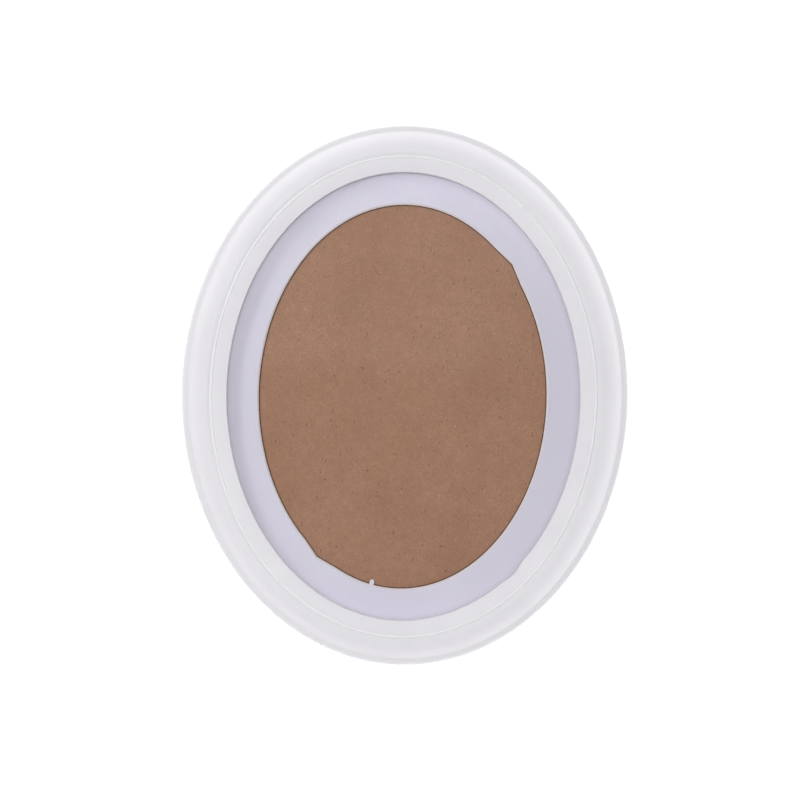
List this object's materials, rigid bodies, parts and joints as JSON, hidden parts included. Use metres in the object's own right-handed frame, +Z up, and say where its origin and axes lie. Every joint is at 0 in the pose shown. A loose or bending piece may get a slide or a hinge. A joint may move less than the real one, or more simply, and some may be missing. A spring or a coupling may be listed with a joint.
{
  "type": "oval picture frame",
  "caption": "White oval picture frame with a domed and beaded moulding, clear glazing, a pale mat with an oval window, a brown backing board held by turn buttons, and a sawtooth hanger",
  "frame": {"origin": "Where the frame hangs: the middle notch of the sawtooth hanger, in the plane of the wall", "axes": "+Z up; the frame faces -Y and +Y points into the wall; +X to the right as seen from the front"},
  "size_m": [0.24, 0.0172, 0.29],
  "materials": {
    "white_paint": "wood under white semi-gloss paint",
    "biscuit_wood": "pressed beech",
    "clear_glazing": "clear and polished",
    "mat_card": "matt pale lavender card",
    "hardboard": "brown hardboard with fine specks",
    "button_steel": "zinc plated",
    "screw_steel": "zinc plated",
    "hanger_steel": "zinc plated strip",
    "pad_felt": "grey felt"
  },
  "bodies": {
    "frame": {"rail_top": "white_paint", "rail_right": "white_paint", "rail_bottom": "white_paint", "rail_left": "white_paint", "biscuit_upper_right": "biscuit_wood", "biscuit_lower_right": "biscuit_wood", "biscuit_lower_left": "biscuit_wood", "biscuit_upper_left": "biscuit_wood", "glazing": "clear_glazing", "mat_board": "mat_card", "backing_board": "hardboard", "turn_button_screws": "screw_steel", "sawtooth_hanger": "hanger_steel", "hanger_nails": "screw_steel", "wall_pad_left": "pad_felt", "wall_pad_right": "pad_felt"},
    "turn_button_upper_right": {"turn_button_upper_right": "button_steel"},
    "turn_button_lower_right": {"turn_button_lower_right": "button_steel"},
    "turn_button_lower_left": {"turn_button_lower_left": "button_steel"},
    "turn_button_upper_left": {"turn_button_upper_left": "button_steel"}
  },
  "joints": [
    {"name": "turn_button_upper_right_turn", "type": "hinge", "parent": "frame", "child": "turn_button_upper_right", "pos_m": [0.09223, -0.0032, -0.06752], "axis": [0, 1, 0], "continuous": true},
    {"name": "turn_button_lower_right_turn", "type": "hinge", "parent": "frame", "child": "turn_button_lower_right", "pos_m": [0.09223, -0.0032, -0.19448], "axis": [0, 1, 0], "continuous": true},
    {"name": "turn_button_lower_left_turn", "type": "hinge", "parent": "frame", "child": "turn_button_lower_left", "pos_m": [-0.09223, -0.0032, -0.19448], "axis": [0, 1, 0], "continuous": true},
    {"name": "turn_button_upper_left_turn", "type": "hinge", "parent": "frame", "child": "turn_button_upper_left", "pos_m": [-0.09223, -0.0032, -0.06752], "axis": [0, 1, 0], "continuous": true}
  ]
}
